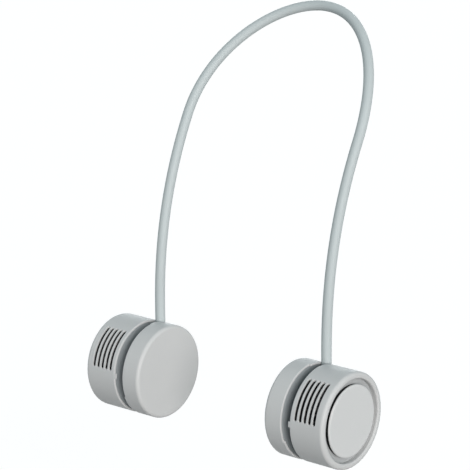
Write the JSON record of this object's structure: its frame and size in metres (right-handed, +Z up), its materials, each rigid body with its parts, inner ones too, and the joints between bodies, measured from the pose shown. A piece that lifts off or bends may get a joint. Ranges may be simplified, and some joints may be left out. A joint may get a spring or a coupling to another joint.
{
  "type": "electric neck fan",
  "caption": "Neck-worn electric fan: bendable neck loop with a round pod on each end, each a battery disc and a swivelling slotted fan drum.",
  "frame": {"origin": "underside of the neck tube at the top of the loop, where it lies on the back of the neck", "axes": "+X from the left pod to the right pod as worn, along the pods' common axis; +Y towards the wearer's back; +Z up"},
  "size_m": [0.201, 0.1344, 0.2781],
  "materials": {
    "shell_grey": "fine matte moulding",
    "face_grey": "fine matte moulding",
    "inner_grey": "matte moulding, in shade",
    "soft_tube": "matte silicone",
    "dark_plastic": "matte",
    "fan_black": "satin",
    "rubber_black": "matte",
    "lead_sheath": "matte",
    "cell_wrap": "plain foil",
    "steel": "turned",
    "port_steel": "drawn sheet",
    "copper_wire": "enamelled winding",
    "bronze": "sintered",
    "magnet": "coated",
    "board": "solder mask"
  },
  "bodies": {
    "neck": {"neck_tube": "soft_tube", "neck_spine": "steel"},
    "left_arm": {"left_ferrule": "steel", "left_hub": "dark_plastic", "left_spindle": "steel", "left_spindle_clip": "steel", "left_friction_washer": "rubber_black", "left_disc_shell": "shell_grey", "left_disc_cover": "inner_grey", "left_disc_screws": "steel", "left_battery": "cell_wrap", "left_motor_lead": "lead_sheath"},
    "right_arm": {"right_ferrule": "steel", "right_hub": "dark_plastic", "right_spindle": "steel", "right_spindle_clip": "steel", "right_friction_washer": "rubber_black", "right_disc_shell": "shell_grey", "right_disc_cover": "inner_grey", "right_disc_screws": "steel", "right_battery": "cell_wrap", "right_motor_lead": "lead_sheath", "control_board": "board", "charge_port": "port_steel"},
    "left_drum": {"left_drum_shell": "shell_grey", "left_drum_back": "inner_grey", "left_drum_screws": "steel", "left_scroll": "dark_plastic", "left_inlet_plate": "shell_grey", "left_face_disc": "face_grey", "left_motor_plate": "board", "left_stator": "steel", "left_coils": "copper_wire", "left_bearing": "bronze"},
    "right_drum": {"right_drum_shell": "shell_grey", "right_drum_back": "inner_grey", "right_drum_screws": "steel", "right_scroll": "dark_plastic", "right_inlet_plate": "shell_grey", "right_face_disc": "face_grey", "right_motor_plate": "board", "right_stator": "steel", "right_coils": "copper_wire", "right_bearing": "bronze"},
    "left_fan": {"left_impeller": "fan_black", "left_rotor_cup": "steel", "left_magnet_ring": "magnet", "left_motor_shaft": "steel"},
    "right_fan": {"right_impeller": "fan_black", "right_rotor_cup": "steel", "right_magnet_ring": "magnet", "right_motor_shaft": "steel"},
    "button": {"power_button": "shell_grey"}
  },
  "joints": [
    {"name": "left_neck_bend", "type": "hinge", "parent": "neck", "child": "left_arm", "pos_m": [-0.035, -0.0101, -0.006], "axis": [0, 0.9207, -0.3903], "range_deg": [-5, 14], "deforming": ["neck_tube", "neck_spine"]},
    {"name": "right_neck_bend", "type": "hinge", "parent": "neck", "child": "right_arm", "pos_m": [0.035, -0.0101, -0.006], "axis": [0, -0.9207, 0.3903], "range_deg": [-5, 14], "deforming": ["neck_tube", "neck_spine"]},
    {"name": "left_swivel", "type": "hinge", "parent": "left_arm", "child": "left_drum", "pos_m": [-0.0755, -0.099, -0.2393], "axis": [-1, 0, 0], "range_deg": [-22, 80]},
    {"name": "right_swivel", "type": "hinge", "parent": "right_arm", "child": "right_drum", "pos_m": [0.0755, -0.099, -0.2393], "axis": [-1, 0, 0], "range_deg": [-22, 80]},
    {"name": "left_fan_spin", "type": "hinge", "parent": "left_drum", "child": "left_fan", "pos_m": [-0.087, -0.099, -0.2393], "axis": [-1, 0, 0], "continuous": true},
    {"name": "right_fan_spin", "type": "hinge", "parent": "right_drum", "child": "right_fan", "pos_m": [0.087, -0.099, -0.2393], "axis": [1, 0, 0], "continuous": true},
    {"name": "power_press", "type": "slide", "parent": "right_arm", "child": "button", "axis": [0, -0.6428, 0.766], "range_m": [0, 0.0005], "stiffness_N_per_m": 600, "springref_m": -0.0005}
  ]
}
